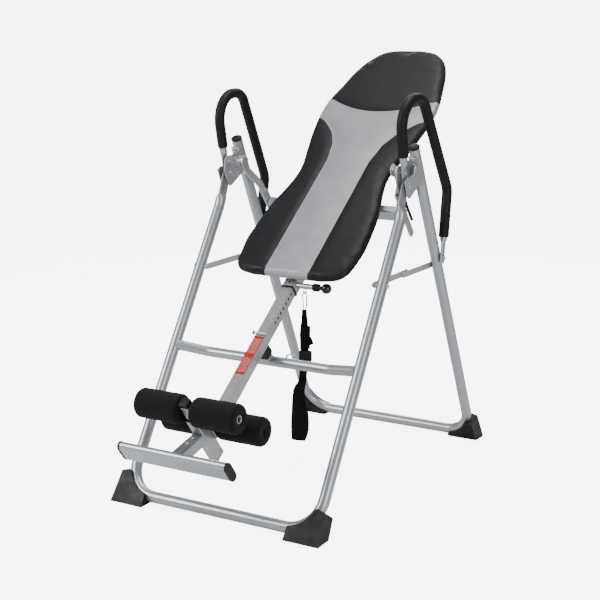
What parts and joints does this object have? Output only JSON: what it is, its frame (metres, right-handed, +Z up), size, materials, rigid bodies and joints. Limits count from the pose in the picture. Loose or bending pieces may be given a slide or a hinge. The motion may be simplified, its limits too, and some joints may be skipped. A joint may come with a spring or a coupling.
{
  "type": "inversion table",
  "caption": "Folding inversion table: A-frame with handlebars, tilting padded bed, height boom, ankle rollers and foot bar.",
  "frame": {"origin": "on the floor, at the middle of the whole table's bounding box", "axes": "+Z up; -Y towards the foot end, +Y towards the head end and the rear legs; +X to the side with the pull pin"},
  "size_m": [0.7558, 1.5394, 1.3947],
  "materials": {
    "frame_coat": "silver-grey powder coat with a fine sparkle, satin",
    "bed_coat": "warm silver-grey powder coat, satin",
    "zinc": "zinc-plated steel, slightly dull",
    "black_plastic": "black moulded plastic, fine grain",
    "knob": "black ball knob, semi-gloss",
    "rubber_bumper": "black rubber",
    "foam": "black closed-cell foam, matt",
    "pad_vinyl": "black vinyl with a silver-grey vinyl inlay, soft sheen",
    "board": "plain plywood board",
    "webbing": "black nylon webbing"
  },
  "bodies": {
    "rear_frame": {"rear_u_tube": "frame_coat", "side_bracket_right": "zinc", "side_bracket_left": "zinc", "hinge_bolt_right": "zinc", "hinge_bolt_left": "zinc", "rear_leg_cap_right": "black_plastic", "rear_leg_cap_left": "black_plastic", "handlebar_right": "frame_coat", "handlebar_left": "frame_coat", "handlebar_grip_right": "foam", "handlebar_grip_left": "foam", "rear_foot_right": "black_plastic", "rear_foot_left": "black_plastic", "spreader_bolt_rear_right": "black_plastic", "spreader_bolt_rear_left": "black_plastic"},
    "front_frame": {"front_u_tube": "frame_coat", "front_crossbar": "frame_coat", "bumper": "rubber_bumper", "front_foot_right": "black_plastic", "front_foot_left": "black_plastic", "spreader_bolt_front_right": "zinc", "spreader_bolt_front_left": "zinc"},
    "spreader_front_right_link": {"spreader_front_right": "zinc"},
    "spreader_front_left_link": {"spreader_front_left": "zinc"},
    "spreader_rear_right_link": {"spreader_rear_right": "zinc"},
    "spreader_rear_left_link": {"spreader_rear_left": "zinc"},
    "bed": {"bed_main_tube": "bed_coat", "sleeve_collar": "black_plastic", "pin_housing": "frame_coat", "pin_bush": "black_plastic", "backrest_board": "board", "backrest_pad": "pad_vinyl", "bed_crossbar_right": "frame_coat", "bed_crossbar_left": "frame_coat", "pivot_roller_right": "zinc", "pivot_roller_left": "zinc", "pivot_arm_right": "zinc", "pivot_arm_left": "zinc"},
    "lever": {"lock_lever": "black_plastic"},
    "pin": {"pull_pin": "knob"},
    "tether": {"carabiner": "zinc", "tether_strap": "webbing", "tether_buckle": "black_plastic"},
    "boom": {"height_boom": "bed_coat", "boom_stop_bolt": "zinc", "ankle_holder": "bed_coat", "ankle_holder_collar": "black_plastic", "ankle_holder_plug": "black_plastic", "rear_roller_tube": "bed_coat", "footrest_arm": "frame_coat", "foot_bar": "frame_coat", "foot_bar_cap_right": "black_plastic", "foot_bar_cap_left": "black_plastic"},
    "post": {"ankle_post": "bed_coat", "ankle_post_cap": "black_plastic", "front_roller_tube": "bed_coat"},
    "roller_front_right": {"front_roller_right": "foam"},
    "roller_front_left": {"front_roller_left": "foam"},
    "roller_rear_right": {"rear_roller_right": "foam"},
    "roller_rear_left": {"rear_roller_left": "foam"}
  },
  "joints": [
    {"name": "front_fold", "type": "hinge", "parent": "rear_frame", "child": "front_frame", "pos_m": [0, 0.0307, 0.976], "axis": [1, 0, 0], "range_deg": [0, 50], "deforming": ["tether_strap", "tether_buckle"]},
    {"name": "bed_tilt", "type": "hinge", "parent": "rear_frame", "child": "bed", "pos_m": [0, 0.0577, 1.018], "axis": [-1, 0, 0], "range_deg": [0, 128]},
    {"name": "boom_slide", "type": "slide", "parent": "bed", "child": "boom", "axis": [0, 0.788, 0.6157], "range_m": [-0.12, 0.16]},
    {"name": "ankle_slide", "type": "slide", "parent": "boom", "child": "post", "axis": [0, -0.6157, 0.788], "range_m": [0, 0.04]},
    {"name": "pull_pin_slide", "type": "slide", "parent": "bed", "child": "pin", "axis": [1, 0, 0], "range_m": [0, 0.012], "stiffness_N_per_m": 400},
    {"name": "tether_swing", "type": "hinge", "parent": "bed", "child": "tether", "pos_m": [0.047, -0.0973, 0.629], "axis": [1, 0, 0], "range_deg": [0, 125], "deforming": ["tether_strap", "tether_buckle"]},
    {"name": "lock_lever_swing", "type": "hinge", "parent": "bed", "child": "lever", "pos_m": [0.283, 0.12665, 0.92974], "axis": [1, 0, 0], "range_deg": [0, 20], "stiffness_Nm_per_rad": 0.4},
    {"name": "spreader_front_right_fold", "type": "hinge", "parent": "front_frame", "child": "spreader_front_right_link", "pos_m": [0.3135, -0.12688, 0.681], "axis": [1, 0, 0], "range_deg": [0, 40]},
    {"name": "spreader_rear_right_fold", "type": "hinge", "parent": "rear_frame", "child": "spreader_rear_right_link", "pos_m": [0.3171, 0.28087, 0.683], "axis": [-1, 0, 0], "range_deg": [0, 60]},
    {"name": "front_roller_right_spin", "type": "hinge", "parent": "post", "child": "roller_front_right", "pos_m": [0.098, -0.67131, 0.3723], "axis": [1, 0, 0], "continuous": true},
    {"name": "rear_roller_right_spin", "type": "hinge", "parent": "boom", "child": "roller_rear_right", "pos_m": [0.098, -0.54126, 0.30005], "axis": [1, 0, 0], "continuous": true},
    {"name": "spreader_front_left_fold", "type": "hinge", "parent": "front_frame", "child": "spreader_front_left_link", "pos_m": [-0.3135, -0.12688, 0.681], "axis": [1, 0, 0], "range_deg": [0, 40]},
    {"name": "spreader_rear_left_fold", "type": "hinge", "parent": "rear_frame", "child": "spreader_rear_left_link", "pos_m": [-0.3171, 0.28087, 0.683], "axis": [-1, 0, 0], "range_deg": [0, 60]},
    {"name": "front_roller_left_spin", "type": "hinge", "parent": "post", "child": "roller_front_left", "pos_m": [-0.098, -0.67131, 0.3723], "axis": [1, 0, 0], "continuous": true},
    {"name": "rear_roller_left_spin", "type": "hinge", "parent": "boom", "child": "roller_rear_left", "pos_m": [-0.098, -0.54126, 0.30005], "axis": [1, 0, 0], "continuous": true}
  ],
  "couplings": [
    {"joint": "tether_swing", "follows": "bed_tilt", "ratio": 0.93},
    {"joint": "spreader_front_right_fold", "follows": "front_fold", "ratio": 0.7592},
    {"joint": "spreader_rear_right_fold", "follows": "front_fold", "ratio": 1.134},
    {"joint": "spreader_front_left_fold", "follows": "front_fold", "ratio": 0.7592},
    {"joint": "spreader_rear_left_fold", "follows": "front_fold", "ratio": 1.134}
  ]
}
